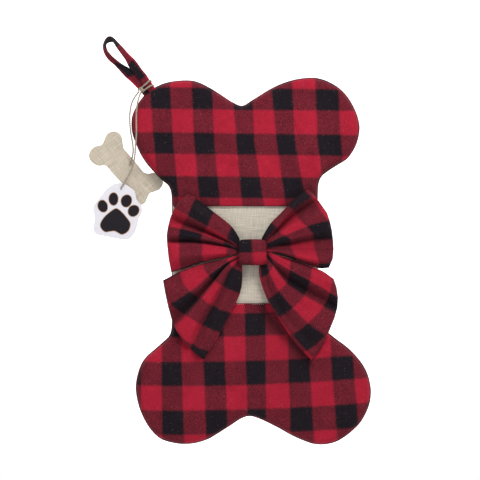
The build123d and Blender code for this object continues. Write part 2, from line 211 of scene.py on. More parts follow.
def linen(name, tone=(207, 198, 182), pitch=760.0):
    g = Graph(name)
    vec, u, v = g.uv()
    oc = g.obj_coord()
    wob = g.math("MULTIPLY", g.math("SUBTRACT", g.noise(oc, 120, 2.0), 0.5), 1.6)
    a = g.math("SINE", g.math("ADD", g.math("MULTIPLY", u, pitch * 2 * math.pi), wob))
    b = g.math("SINE", g.math("ADD", g.math("MULTIPLY", v, pitch * 2 * math.pi), wob))
    weave = g.math("MULTIPLY", a, b)
    # slubs: threads that run thick or dark for a while
    su = g.node("ShaderNodeCombineXYZ")
    g.link(g.math("MULTIPLY", u, 1100.0), su.inputs[0])
    g.link(g.math("MULTIPLY", v, 45.0), su.inputs[1])
    sv = g.node("ShaderNodeCombineXYZ")
    g.link(g.math("MULTIPLY", u, 45.0), sv.inputs[0])
    g.link(g.math("MULTIPLY", v, 1100.0), sv.inputs[1])
    sv.inputs[2].default_value = 7.0
    n1 = g.noise(su.outputs[0], 1.0, 2.0, 0.6)
    n2 = g.noise(sv.outputs[0], 1.0, 2.0, 0.6)
    thread = g.math("MULTIPLY", g.math("ADD", n1, n2), 0.5)
    m = g.node("ShaderNodeMapRange")
    g.link(thread, m.inputs["Value"])
    m.inputs["From Min"].default_value = 0.34
    m.inputs["From Max"].default_value = 0.66
    dark = tuple(int(c * 0.80) for c in tone)
    light = tuple(min(255, int(c * 1.10)) for c in tone)
    col = g.mix(m.outputs[0], lin(dark), lin(light))
    w = g.math("ADD", g.math("MULTIPLY", weave, 0.5), 0.5)
    col = g.mix(g.math("MULTIPLY", w, 0.42), col, lin(tuple(int(c * 0.62) for c in tone)))
    g.link(col, g.bsdf.inputs["Base Color"])
    g.bsdf.inputs["Roughness"].default_value = 0.9
    g.bsdf.inputs["Specular IOR Level"].default_value = 0.15
    g.bsdf.inputs["Sheen Weight"].default_value = 0.08
    h = g.math("ADD", g.math("MULTIPLY", weave, -0.5), g.math("MULTIPLY", thread, 1.5))
    g.bump(h, 0.5, 0.0003)
    return g.mat


def jute():
    g = Graph("jute twine")
    oc = g.obj_coord()
    n = g.noise(oc, 700, 3.0, 0.7)
    col = g.mix(n, lin((112, 98, 82)), lin((188, 176, 158)))
    g.link(col, g.bsdf.inputs["Base Color"])
    g.bsdf.inputs["Roughness"].default_value = 0.9
    g.bsdf.inputs["Sheen Weight"].default_value = 0.2
    g.bump(g.noise(oc, 2600, 2.0, 0.7), 0.6, 0.0003)
    return g.mat


def painted(name, a, b, scale, rough=0.6, bump=0.2):
    g = Graph(name)
    oc = g.obj_coord()
    n = g.noise(oc, scale, 4.0, 0.6)
    g.link(g.mix(n, lin(a), lin(b)), g.bsdf.inputs["Base Color"])
    g.bsdf.inputs["Roughness"].default_value = rough
    g.bsdf.inputs["Specular IOR Level"].default_value = 0.3
    g.bump(g.noise(oc, scale * 2.5, 3.0, 0.6), bump, 0.0003)
    return g.mat


M_PLAID = plaid("buffalo plaid flannel")
M_LINEN = linen("natural linen")
M_LINEN_TAG = linen("tag linen", (206, 194, 175), 640.0)
M_JUTE = jute()
M_LINING = linen("lining cotton", (214, 204, 188), 1500.0)
M_WHITE = painted("white painted wood", (206, 203, 210), (220, 217, 224), 260, 0.62, 0.25)
M_FELT = painted("black felt", (18, 15, 20), (34, 29, 36), 1400, 0.95, 0.5)
M_BURNT = painted("scorched edge", (150, 104, 66), (196, 154, 112), 500, 0.8, 0.2)
M_BOARD = painted("tag board", (176, 160, 134), (206, 192, 168), 600, 0.9, 0.4)
M_FLOOR = painted("pale sweep", (246, 246, 247), (249, 249, 250), 3, 0.9, 0.0)


# ------------------------------------------------------------------ mesh helpers
def make_mesh(name, verts, faces, uvs=None, mat=None, smooth=True):
    me = bpy.data.meshes.new(name)
    me.from_pydata([tuple(map(float, v)) for v in verts], [], faces)
    me.update()
    if uvs is not None:
        layer = me.uv_layers.new(name="Cloth")
        flat = np.zeros(len(me.loops) * 2, np.float32)
        idx = np.zeros(len(me.loops), np.int32)
        me.loops.foreach_get("vertex_index", idx)
        uvs = np.asarray(uvs, np.float32)
        flat[0::2] = uvs[idx, 0]
        flat[1::2] = uvs[idx, 1]
        layer.data.foreach_set("uv", flat)
    o = bpy.data.objects.new(name, me)
    bpy.context.scene.collection.objects.link(o)
    if mat:
        me.materials.append(mat)
    if smooth:
        me.polygons.foreach_set("use_smooth", [True] * len(me.polygons))
    return o


def put_painted_shade(o, dark):
    """Painted shade: how dark each vertex is painted where folds, creases and overlapping pieces would shade it, kept
    as a second UV map.
    """
    layer = o.data.uv_layers.new(name="PaintedShade")
    idx = np.zeros(len(o.data.loops), np.int32)
    o.data.loops.foreach_get("vertex_index", idx)
    flat = np.zeros(len(idx) * 2, np.float32)
    flat[0::2] = np.clip(dark, 0, 1)[idx]
    layer.data.foreach_set("uv", flat)


def apply_modifiers(o):
    dg = bpy.context.evaluated_depsgraph_get()
    me = bpy.data.meshes.new_from_object(o.evaluated_get(dg), preserve_all_data_layers=True, depsgraph=dg)
    old = o.data
    o.modifiers.clear()
    o.data = me
    me.name = old.name
    return o


def spline_closed(pts, n):
    """n points evenly spaced along a closed Catmull-Rom curve."""
    P = np.asarray(pts, float)
    out = []
    m = len(P)
    for i in range(m):
        p0, p1, p2, p3 = P[i - 1], P[i], P[(i + 1) % m], P[(i + 2) % m]
        for t in np.linspace(0, 1, 12, endpoint=False):
            out.append(0.5 * ((2 * p1) + (-p0 + p2) * t + (2 * p0 - 5 * p1 + 4 * p2 - p3) * t * t + (-p0 + 3 * p1 - 3 * p2 + p3) * t ** 3))
    out = np.array(out)
    d = np.r_[0, np.cumsum(np.linalg.norm(np.diff(np.r_[out, out[:1]], axis=0), axis=1))]
    s = np.linspace(0, d[-1], n, endpoint=False)
    q = np.r_[out, out[:1]]
    return np.c_[np.interp(s, d, q[:, 0]), np.interp(s, d, q[:, 1])]


def resample(pts, n):
    """n points evenly spaced along an open smooth curve of any dimension."""
    P = np.asarray(pts, float)
    Q = np.vstack([2 * P[0] - P[1], P, 2 * P[-1] - P[-2]])
    out = []
    for i in range(1, len(Q) - 2):
        p0, p1, p2, p3 = Q[i - 1], Q[i], Q[i + 1], Q[i + 2]
        for t in np.linspace(0, 1, 16, endpoint=False):
            out.append(0.5 * ((2 * p1) + (-p0 + p2) * t + (2 * p0 - 5 * p1 + 4 * p2 - p3) * t * t + (-p0 + 3 * p1 - 3 * p2 + p3) * t ** 3))
    out.append(P[-1])
    out = np.array(out)
    d = np.r_[0, np.cumsum(np.linalg.norm(np.diff(out, axis=0), axis=1))]
    s = np.linspace(0, d[-1], n)
    return np.column_stack([np.interp(s, d, out[:, k]) for k in range(out.shape[1])]), d[-1]


def inside(poly, pts):
    x, y = pts[:, 0], pts[:, 1]
    res = np.zeros(len(pts), bool)
    j = len(poly) - 1
    for i in range(len(poly)):
        xi, yi = poly[i]
        xj, yj = poly[j]
        c = ((yi > y) != (yj > y)) & (x < (xj - xi) * (y - yi) / (yj - yi + 1e-12) + xi)
        res ^= c
        j = i
    return res


def dist_to(poly, pts, chunk=2000):
    out = np.empty(len(pts))
    a = poly
    b = np.roll(poly, -1, axis=0)
    ab = b - a
    L = (ab ** 2).sum(1) + 1e-12
    for s in range(0, len(pts), chunk):
        p = pts[s:s + chunk][:, None, :]
        t = np.clip(((p - a) * ab).sum(2) / L, 0, 1)
        q = a + t[..., None] * ab
        out[s:s + chunk] = np.sqrt(((p - q) ** 2).sum(2).min(1))
    return out


def n3(x, z, s, seed=0.0):
    return noise.noise(Vector((x * s, seed, z * s)))


# ------------------------------------------------------------------ body outline
BODY = """242,106.2 252,100.8 260,95.8 268,90.8 276,86.6 284,83.2 292,80.7 300,79 308,78.2 316,78.2 324,80.2 332,83.8 339,88.4 345,94.2 350,101
354,108.4 357,116 359,124.5 358.9,131.5 357.5,139 354.8,146.5 350.6,153.6 345.5,159.3 337,164.5 328,170.3 321.6,175.5 318.4,182 317.4,192
317.3,215 317.3,245 317.3,280 317.4,308 318.5,321 322.6,328.6 329,334.2 337,340.4 345,346.3 352,352.6 358.5,359.8 364,367.8 368,377
370.3,388 370.3,397 368.6,405.5 364.8,414.6 359.5,423.2 352,430.8 344,437 336,441.4 326,444 315,443.8 304,440.4 292,435 280,428.3 268,422.2
258,417.8 249.5,415.8 241,418.2 228,426.6 216,434.2 207,439.2 196,442.6 184,443.8 172,442.3 161,438.6 152.5,431.2 146,421.8 140.6,410.2
137.3,398 136.2,387 137.6,376.5 141.2,365.6 147,357 155,350 163.6,342.4 169.6,336.4 172,329 172.4,318 172.4,290 172.4,255 172.5,225
172.4,203 171.6,192 168.6,184.8 162,179.2 153.4,170.4 146.4,162.2 140.8,153.2 136.0,142.4 132.8,133 131.9,124 132.8,115.5 136.6,106.8
142,98.5 148.4,92 156,87.2 165,83.4 175,81.4 186,80.6 194,81.4 201,83.8 210,88.4 220,94.6 231,101.8"""
BODY = np.array([[float(a) for a in p.split(",")] for p in BODY.split()])
outline = spline_closed(BODY, 900)          # sheet units
outline_m = np.c_[gx(outline[:, 0]), gz(outline[:, 1])]


def band(q, p, levels, edges, first):
    """Which check q falls in: edges[k] are the check boundaries where p = levels[k]."""
    edges = np.array(edges, float)
    levels = np.array(levels, float)
    pp = np.clip(p, levels[0] - 60, levels[-1] + 60)
    k = np.clip(np.searchsorted(levels, pp) - 1, 0, len(levels) - 2)
    t = (pp - levels[k]) / (levels[k + 1] - levels[k])
    B = edges[k] * (1 - t)[:, None] + edges[k + 1] * t[:, None]
    j = np.clip((q[:, None] >= B).sum(1) - 1, 0, B.shape[1] - 2)
    n = np.arange(len(q))
    return first + j + (q - B[n, j]) / (B[n, j + 1] - B[n, j])


HEAD_COLS = [[151.0, 170.9, 192.3, 212.6, 232.9, 252.4, 272.3, 292.6, 315.6, 338.5],
             [154.4, 173.7, 194.6, 214.5, 236.4, 254.3, 276.5, 294.9, 317.1, 340.8],
             [157.9, 177.8, 198.5, 218.7, 240.6, 261.2, 283.0, 303.3, 324.0, 345.4]]
HEAD_ROWS = [66.5, 88.7, 110.3, 134.0, 155.0, 177.1, 198.1, 220.0]
FOOT_COLS = [[161.9, 181.9, 202.4, 223.3, 244.8, 265.7, 287.6, 308.0, 329.2, 350.6],
             [161.8, 182.1, 204.1, 225.4, 246.1, 265.7, 288.5, 309.6, 331.6, 353.6],
             [162.2, 183.7, 206.1, 227.3, 247.7, 265.7, 290.0, 312.8, 335.5, 357.8]]
FOOT_ROWS = [289.0, 312.6, 335.3, 360.1, 383.9, 408.3, 432.7, 457.0]


def plaid_head(x, y):
    u = band(x, y, [99.0, 143.5, 188.0], HEAD_COLS, -4)
    v = band(y + 0.012 * (245 - x), x, [100.0, 400.0], [HEAD_ROWS, HEAD_ROWS], -1)
    return u, v


def plaid_foot(x, y):
    u = band(x, y, [323.5, 372.2, 420.8], FOOT_COLS, -4)
    q = x - 255.5
    v = band(y + 0.0337 * q + 0.000203 * q * q, x, [100.0, 400.0], [FOOT_ROWS, FOOT_ROWS], -1)
    return u, v


def cloth_panel(name, region, depth, uvf, mat, thick=0.0010, step=2.0, rows=(), shadow=None):
    """A sheet over the closed region (sheet units), standing depth(x, y, edge distance) metres ahead of the seam plane."""
    region = np.asarray(region, float)
    lo, hi = region.min(0), region.max(0)
    xs = np.arange(lo[0], hi[0], step)
    ys = np.arange(lo[1], hi[1], step * 0.87)
    pts = []
    for k, yy in enumerate(ys):
        off = 0.5 * step if k % 2 else 0.0
        pts.append(np.c_[xs + off, np.full(len(xs), yy)])
    pts = np.vstack(pts)
    pts = pts[inside(region, pts)]
    pts = pts[dist_to(region, pts) > step * 0.55]
    for yy in rows:
        line = np.c_[np.arange(lo[0], hi[0], step), np.full(len(np.arange(lo[0], hi[0], step)), yy)]
        line = line[inside(region, line)]
        line = line[(line[:, 0] > line[:, 0].min() + 0.6) & (line[:, 0] < line[:, 0].max() - 0.6)] if len(line) else line
        pts = np.vstack([pts[np.abs(pts[:, 1] - yy) > 0.3], line])
    nb = len(region)
    coords = [Vector(p) for p in region] + [Vector(p) for p in pts]
    edges = [(i, (i + 1) % nb) for i in range(nb)]
    vs, es, fs, *_ = delaunay_2d_cdt(coords, edges, [], 1, 1e-5)
    V = np.array([[v.x, v.y] for v in vs])
    Y = depth(V[:, 0], V[:, 1])
    X, Z = gx(V[:, 0]), gz(V[:, 1])
    verts = np.c_[X, Y, Z]
    u, v = uvf(V[:, 0], V[:, 1])
    faces = []
    for f in fs:
        a, b, c = f[:3]
        # front faces look along -Y
        n = (X[b] - X[a]) * (Z[c] - Z[a]) - (X[c] - X[a]) * (Z[b] - Z[a])
        faces.append((a, b, c) if n > 0 else (a, c, b))
    o = make_mesh(name, verts, faces, np.c_[u, v], mat)
    if shadow is not None:
        put_painted_shade(o, shadow(V[:, 0], V[:, 1]))
    mod = o.modifiers.new("thick", "SOLIDIFY")
    mod.thickness = thick
    mod.offset = -1.0
    mod.use_rim = True
    apply_modifiers(o)
    return o


edge_of = {}


def body_edge(x, y):
    return dist_to(outline, np.c_[x, y]) * G


def rounding(s, flat, rise, r):
    t = np.clip((r - s) / r, 0, 1)
    return flat * 0 + rise * np.sqrt(np.clip(1 - t ** 2, 0, 1))


def wrinkles(x, y):
    out = np.zeros(len(x))
    for cx, cy, ang, length, width, amp in WRINKLES:
        ca, sa = math.cos(math.radians(ang)), math.sin(math.radians(ang))
        dx, dy = x - cx, y - cy
        a = dx * ca + dy * sa
        b = -dx * sa + dy * ca
        bend = b + 0.012 * a * a * (1 if (int(cx) % 2) else -1) * 0.5
        out += amp * np.exp(-(a / length) ** 2) * (np.exp(-(bend / width) ** 2) - 0.6 * np.exp(-((bend - 1.9 * width) / width) ** 2))
    return out


WRINKLES = [
    (222, 120, -28, 20, 3.2, 0.0011), (206, 132, 12, 18, 3.0, 0.0008), (196, 116, 62, 12, 3.0, 0.0006),
    (243, 122, 84, 16, 3.6, 0.0011), (253, 140, 70, 16, 4.0, 0.0007), (300, 130, 74, 22, 3.6, 0.0010),
    (312, 148, 66, 20, 3.4, 0.0009), (296, 170, 80, 16, 4.0, 0.0008), (172, 150, -18, 20, 3.6, 0.0008),
    (228, 158, 20, 20, 4.0, 0.0006), (330, 140, -30, 16, 3.6, 0.0007), (270, 170, 64, 14, 3.4, 0.0006),
    (188, 176, 24, 16, 3.4, 0.0008), (306, 184, -62, 10, 3.0, 0.0008),
    (190, 352, 30, 22, 4.0, 0.0009), (232, 378, -20, 24, 4.2, 0.0007), (300, 372, 18, 24, 4.2, 0.0008),
    (330, 352, 36, 18, 3.6, 0.0009), (252, 404, 82, 12, 3.4, 0.0009), (214, 410, -34, 18, 3.6, 0.0008),
    (290, 412, 30, 18, 3.6, 0.0008), (166, 392, 70, 18, 3.8, 0.0007), (346, 392, -66, 18, 3.8, 0.0007),
]


def soft_noise(x, y, amp, scale, seed):
    return np.array([amp * noise.noise(Vector((a * scale, b * scale, seed))) for a, b in zip(x, y)])


def dome(x, y, front=0.0110, r=0.0100, extra=0.0022):
    s = body_edge(x, y)
    t = np.clip(s / r, 0, 1)
    base = front * np.sqrt(np.clip(1 - (1 - t) ** 2, 0, 1))
    base = base + extra * np.clip((s - r) / 0.04, 0, 1) ** 0.7
    fade = np.clip(s / 0.012, 0, 1)
    pucker = 0.00035 * np.sin((x * 0.9 + y * 0.7) * 1.05) * np.exp(-((s - 0.006) / 0.006) ** 2)
    d = base + fade * (1.3 * wrinkles(x, y) + soft_noise(x, y, 0.0007, 0.055, 3.0) + soft_noise(x, y, 0.00025, 0.16, 9.0)) + pucker * fade
    return np.where(s > 0.0084, np.maximum(d, 0.0103), d)


HEM_Y = 206.3


def head_depth(x, y):
    d = dome(x, y)
    # the folded hem sits flat and close to the linen
    k = np.clip((y - 186) / 18.0, 0, 1)
    d = d * (1 - k) + np.minimum(d, 0.0108 + soft_noise(x, y, 0.0004, 0.05, 5.0)) * k
    # stitched crease above the hem's fold
    roll = np.clip((y - (HEM_Y - 1.6)) / 1.6, 0, 1)
    d = d - 0.0009 * roll ** 2
    return -d


def foot_depth(x, y):
    d = dome(x, y)
    # the panel's top edge is turned under along the seam
    near = np.clip((y - 304.5) / 22.0, 0, 1)
    d = np.minimum(d, 0.0104 + 0.003 * near)
    return -np.where(y < 303.30, np.minimum(d, 0.0070), np.where(y < 303.62, np.minimum(d, 0.0097), d))


def near_line(x, y, pts):
    """Distance to a run of points, and whether it is passed on the left."""
    best = np.full(len(x), 1e9)
    side = np.zeros(len(x))
    for (ax, ay), (bx, by) in zip(pts[:-1], pts[1:]):
        dx, dy = bx - ax, by - ay
        t = np.clip(((x - ax) * dx + (y - ay) * dy) / (dx * dx + dy * dy), 0, 1)
        qx, qy = ax + t * dx, ay + t * dy
        d = np.hypot(x - qx, y - qy)
        c = (x - ax) * dy - (y - ay) * dx
        side = np.where(d < best, c, side)
        best = np.minimum(best, d)
    return best, side < 0


def foot_shadow(x, y):
    d1, left = near_line(x, y, [(259, 290), (263, 304), (272, 320), (290, 339), (309, 359)])
    a = np.where(left, 0.78 * np.exp(-(d1 / 7.5) ** 2), 0.5 * np.exp(-(d1 / 3.0) ** 2))
    d2, _ = near_line(x, y, [(166, 318), (186, 346), (204, 361), (216, 340), (236, 304)])
    return np.clip(a + 0.30 * np.exp(-(d2 / 3.5) ** 2), 0, 0.85)


def linen_depth(x, y):
    s = body_edge(x, y)
    t = np.clip(s / 0.007, 0, 1)
    d = 0.0073 * np.sqrt(np.clip(1 - (1 - t) ** 2, 0, 1))
    d = d + np.clip(s / 0.01, 0, 1) * soft_noise(x, y, 0.0006, 0.03, 12.0)
    d = d - 0.0010 * np.exp(-((y - 304.2) / 1.6) ** 2)
    return -d


def cut_region(y0, y1, n_edge=1):
    """The points of the outline between two heights, as a list."""
    pts = outline
    keep = (pts[:, 1] >= y0) & (pts[:, 1] <= y1)
    return pts[keep]


def polygon_between(y0, y1, step=2.2):
    """The outline clipped to a band of heights."""
    poly = [tuple(p) for p in outline]
    for lim, above in ((y0, True), (y1, False)):
        if lim is None:
            continue
        out = []
        for i, a in enumerate(poly):
            b = poly[(i + 1) % len(poly)]
            ina = a[1] >= lim if above else a[1] <= lim
            inb = b[1] >= lim if above else b[1] <= lim
            if ina:
                out.append(a)
            if ina != inb:
                t = (lim - a[1]) / (b[1] - a[1])
                out.append((a[0] + (b[0] - a[0]) * t, lim))
        poly = out
    # even spacing along long cuts
    res = []
    for i, a in enumerate(poly):
        b = poly[(i + 1) % len(poly)]
        L = math.hypot(b[0] - a[0], b[1] - a[1])
        if L < 0.05:
            continue
        k = max(1, int(L / step))
        for j in range(k):
            res.append((a[0] + (b[0] - a[0]) * j / k, a[1] + (b[1] - a[1]) * j / k))
    return np.array(res)


head_edge = polygon_between(None, HEM_Y)
low_edge = head_edge[:, 1] > HEM_Y - 0.01
head_edge[low_edge, 1] += 1.3 * np.clip((203 - head_edge[low_edge, 0]) / 26.0, 0, 1)


def head_shadow(x, y):
    d1, _ = near_line(x, y, [(177, 207), (186, 193), (198, 199), (212, 210)])
    d2, _ = near_line(x, y, [(284, 207), (292, 199), (310, 188), (319, 200)])
    return np.clip(0.35 * np.exp(-(d1 / 3.5) ** 2) + 0.45 * np.exp(-(d2 / 4.5) ** 2), 0, 0.8)


head = cloth_panel("head_panel", head_edge, head_depth, plaid_head, M_PLAID, shadow=head_shadow)
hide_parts("head_front_panel", "mouth_flap", "mouth_flap_hem_facing")
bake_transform(head)

foot = cloth_panel("foot_panel", polygon_between(303.2, None), foot_depth, plaid_foot, M_PLAID, rows=(303.45, 303.8), shadow=foot_shadow)
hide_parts("foot_front_panel")
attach(foot, "stocking")

shaft = cloth_panel("linen_shaft", polygon_between(197.0, 305.0), linen_depth, lambda x, y: (x * G, y * G), M_LINEN, thick=0.0009)
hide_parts("linen_shaft_panel")
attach(shaft, "stocking")


def back_depth(x, y):
    s = body_edge(x, y)
    t = np.clip(s / 0.0080, 0, 1)
    d = 0.0086 * np.sqrt(np.clip(1 - (1 - t) ** 2, 0, 1))
    fade = np.clip(s / 0.012, 0, 1)
    d = d + fade * (soft_noise(x, y, 0.0004, 0.05, 21.0) + 0.3 * wrinkles(x + 9, y - 6))
    return np.clip(np.where(s > 0.0068, np.maximum(d, 0.0082), d), 0, 0.0094)


def plaid_back(x, y):
    return (x - 245.0) / 20.9 + 0.5, (y - 262.0) / 22.6 + 0.5


back = cloth_panel("back_panel_cloth", polygon_between(None, None), back_depth, plaid_back, M_PLAID)
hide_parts("back_panel")
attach(back, "stocking")

# ------------------------------------------------------------------ bow
Y_BACK = -0.0122


def smooth01(t):
    return t * t * (3 - 2 * t)


def bow_lobe(name, lines, body, nodes, end_round, knot_depth, flat=0.0, ns=72, nt=9, seed=1.0):
    """Each line runs from the knot outwards: (depth in mm, v, u offset, u scale, [sheet points])."""
    rows, dep, vv, uu = [], [], [], []
    for d, v, d0, sc, pts in lines:
        q, length = resample(pts, ns)
        rows.append(q)
        dep.append(d)
        vv.append(v)
        uu.append((np.linspace(0, length, ns) - d0) / sc + 0.5)
    dep = np.array(dep)
    mean = dep.mean()
    s = np.linspace(0, 1, ns)
    f = 0.30 + 0.70 * smooth01(np.clip(s / 0.42, 0, 1))
    swell = 1.0 - 0.10 * s
    F, U, D = [], [], []
    n = len(lines)
    # painted shade: the deep valley lines between pleats, and the cloth next to the knot, are darkened in colour
    valley_shade = [1.0 if 0 < i < n - 1 and dep[i] > -15 else (0.45 if 0 < i < n - 1 and dep[i] > -19.8 else 0.0) for i in range(n)]
    for i in range(n - 1):
        for k in range(nt if i < n - 2 else nt + 1):
            t = k / nt
            ts = smooth01(t)
            xz = rows[i] * (1 - t) + rows[i + 1] * t
            d = dep[i] * (1 - ts) + dep[i + 1] * ts
            y = mean + (d - mean) * f
            y = -knot_depth * (1 - smooth01(np.clip(s / 0.30, 0, 1))) + y * smooth01(np.clip(s / 0.30, 0, 1)) if knot_depth else y
            e = np.clip((s - (1 - end_round)) / end_round, 0, 1)
            drop = np.sqrt(np.clip(1 - e ** 2, 0, 1)) * 0.86 + 0.14
            y = Y_BACK * 1000 - 0.3 + (y - Y_BACK * 1000 + 0.3) * drop * swell
            D.append((valley_shade[i] * (1 - t) ** 1.6 + valley_shade[i + 1] * t ** 1.6) * (1 - 0.55 * s) + 0.5 * np.exp(-(s / 0.07) ** 2))
            F.append(np.c_[gx(xz[:, 0]), y / 1000.0, gz(xz[:, 1])])
            U.append(np.c_[uu[i] * (1 - t) + uu[i + 1] * t, np.full(ns, vv[i] * (1 - t) + vv[i + 1] * t)])
    F, U = np.array(F), np.array(U)
    R, C = F.shape[:2]
    for a in range(R):
        for b in range(C):
            p = F[a, b]
            w = min(a, R - 1 - a, 4) / 4.0 * min(1.0, (C - 1 - b) / 4.0)
            F[a, b, 1] += w * (0.0005 * n3(p[0], p[2], 70, seed) + 0.0003 * n3(p[0], p[2], 190, seed + 5))
            F[a, b, 1] = min(F[a, b, 1], Y_BACK - 0.0004)
    B = F.copy()
    B[:, :, 1] = np.maximum(F[:, :, 1] + 0.0012, Y_BACK - 0.0002 * 0)
    B[:, :, 1] = np.where(B[:, :, 1] > Y_BACK, Y_BACK, B[:, :, 1])
    B[:, :, 1] = Y_BACK
    verts = np.vstack([F.reshape(-1, 3), B.reshape(-1, 3)])
    uvs = np.vstack([U.reshape(-1, 2), U.reshape(-1, 2)])
    off = R * C
    faces = []
    for a in range(R - 1):
        for b in range(C - 1):
            i0, i1, i2, i3 = a * C + b, a * C + b + 1, (a + 1) * C + b + 1, (a + 1) * C + b
            faces.append((i0, i1, i2, i3))
            faces.append((off + i0, off + i3, off + i2, off + i1))
    for b in range(C - 1):
        faces.append((b, off + b, off + b + 1, b + 1))
        k = (R - 1) * C + b
        faces.append((k, k + 1, off + k + 1, off + k))
    for a in range(R - 1):
        k, m = a * C, (a + 1) * C
        faces.append((k, m, off + m, off + k))
        k, m = a * C + C - 1, (a + 1) * C + C - 1
        faces.append((k, off + k, off + m, m))
    # faces look outwards
    me_test = Vector(verts[faces[0][1]]) - Vector(verts[faces[0][0]])
    o = make_mesh(name, verts, faces, uvs, M_PLAID)
    # painted shade on the front sheet only; the back sheet gets none
    dark = np.r_[np.array(D).reshape(-1), np.array(D).reshape(-1) * 0]
    put_painted_shade(o, dark)
    bm = bmesh.new()
    bm.from_mesh(o.data)
    bmesh.ops.remove_doubles(bm, verts=bm.verts, dist=1e-6)
    bmesh.ops.recalc_face_normals(bm, faces=bm.faces)
    bm.to_mesh(o.data)
    bm.free()
    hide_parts(*nodes)
    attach(o, body)
    return o


UL = [
    (-14.0, 0.05, 2.5, 23, [(239.5, 238.5), (235.5, 231.6), (228.4, 223.4), (209.6, 208.8), (196.7, 198.8), (188.3, 193.2)]),
    (-26.9, 0.45, 4, 22.5, [(240.0, 243.4), (227.2, 231.6), (204.9, 217.6), (189.7, 207.0), (180.6, 200.6)]),
    (-25.8, 0.98, 4.5, 22.5, [(240.0, 247.0), (224.9, 236.4), (204.9, 224.6), (187.3, 215.2), (174.8, 207.8)]),
    (-13.6, 1.45, 5.5, 22.5, [(240.0, 249.0), (222.6, 239.7), (202.6, 230.2), (181.5, 222.0), (170.6, 217.4)]),
    (-22.4, 2.05, 7, 22.4, [(240.0, 250.0), (222.6, 241.6), (199.1, 233.8), (178.0, 228.6), (168.2, 227.0)]),
    (-23.5, 2.55, 7, 22.4, [(240.0, 250.7), (222.6, 243.2), (199.1, 237.6), (178.0, 235.6), (167.0, 235.0)]),
    (-13.6, 3.00, 6, 22.4, [(240.0, 251.3), (222.6, 245.1), (199.1, 242.0), (175.6, 241.4), (167.2, 241.0)]),
    (-23.0, 3.12, 2.5, 23.3, [(240.2, 251.8), (227.2, 248.8), (201.4, 245.3), (179.1, 245.0), (167.5, 245.4)]),
    (-24.6, 3.55, 2.2, 23.5, [(240.2, 252.8), (227.2, 253.0), (202.6, 254.4), (180.3, 256.6), (168.9, 258.6)]),
    (-14.0, 4.08, 2.2, 23.5, [(240.2, 253.9), (227.2, 256.6), (204.9, 261.6), (185.5, 268.2), (171.6, 272.3)]),
]
UR = [
    (-15.0, 0.25, 8, 23, [(261.3, 239.2), (264.2, 233.4), (270.7, 223.2), (280.1, 213.6), (288.3, 204.9), (296.5, 196.8), (307.6, 189.4)]),
    (-26.3, 0.95, 8, 23, [(262.0, 240.6), (269.5, 233.6), (276.5, 225.4), (284.8, 216.2), (293.0, 208.0), (303.5, 200.6), (312.6, 193.6)]),
    (-13.6, 1.12, 9, 23, [(262.0, 241.6), (271.9, 235.2), (280.1, 227.4), (288.3, 219.2), (298.8, 211.0), (310.6, 204.4), (318.6, 201.4)]),
    (-25.2, 1.60, 9, 23, [(263.0, 244.0), (275.4, 237.3), (287.1, 229.3), (301.2, 222.0), (315.3, 216.4), (326.8, 213.2)]),
    (-24.6, 2.05, 12, 23, [(264.0, 245.6), (276.5, 239.6), (288.3, 234.6), (303.5, 228.2), (318.8, 223.6), (329.6, 221.6)]),
    (-22.4, 2.70, 15, 23, [(264.4, 247.0), (276.5, 242.6), (288.3, 239.4), (303.5, 235.4), (318.8, 232.4), (331.6, 231.0)]),
    (-13.6, 3.00, 15, 23, [(264.6, 248.2), (277.7, 246.1), (289.5, 243.9), (304.7, 241.0), (320.0, 239.4), (332.6, 239.0)]),
    (-18.5, 3.35, 15, 23, [(264.8, 249.2), (280.1, 248.8), (295.3, 248.8), (310.6, 249.0), (322.3, 249.4), (333.2, 249.0)]),
    (-25.2, 3.75, 19, 23, [(265.0, 250.2), (280.1, 251.8), (295.3, 255.9), (308.2, 258.6), (320.0, 259.8), (332.4, 258.6)]),
    (-13.8, 4.30, 21, 23, [(265.2, 251.0), (282.4, 255.2), (296.5, 260.4), (308.2, 264.8), (318.8, 268.2), (328.6, 267.6)]),
]
TL = [
    (-15.5, 0.95, 26, 24.5, [(240.2, 254.6), (227.2, 257.9), (205.0, 262.9), (181.5, 271.0), (163.2, 280.2)]),
    (-24.6, 1.55, 26, 24.5, [(240.2, 255.3), (228.4, 260.0), (207.3, 270.0), (187.5, 281.6), (165.6, 293.5)]),
    (-25.8, 2.05, 25, 23.6, [(240.0, 256.0), (227.2, 262.1), (210.2, 275.1), (193.0, 290.2), (168.4, 306.4)]),
    (-13.6, 2.90, 23.5, 22.8, [(239.6, 256.9), (227.2, 264.5), (214.3, 279.4), (200.4, 295.0), (184.3, 311.4), (172.6, 321.6)]),
    (-25.2, 3.15, 22, 22.2, [(239.4, 257.6), (226.6, 267.2), (214.8, 282.6), (203.0, 298.0), (188.6, 315.6), (177.2, 331.0)]),
    (-24.1, 3.75, 21, 21.8, [(239.2, 259.0), (227.5, 270.4), (218.4, 286.0), (206.6, 306.0), (194.4, 326.0), (185.4, 342.6)]),
    (-17.5, 4.02, 20, 21.8, [(239.6, 260.0), (229.6, 270.8), (222.8, 286.4), (211.6, 308.0), (200.8, 327.4), (191.0, 348.6)]),
    (-23.5, 4.35, 19.5, 21.8, [(240.2, 261.0), (233.1, 273.0), (228.0, 290.5), (218.2, 311.6), (208.4, 332.0), (196.8, 354.2)]),
    (-15.0, 5.00, 19.5, 21.8, [(241.4, 262.9), (242.3, 269.2), (241.9, 283.3), (239.0, 295.6), (230.4, 312.6), (218.9, 335.0), (203.6, 359.4)]),
]
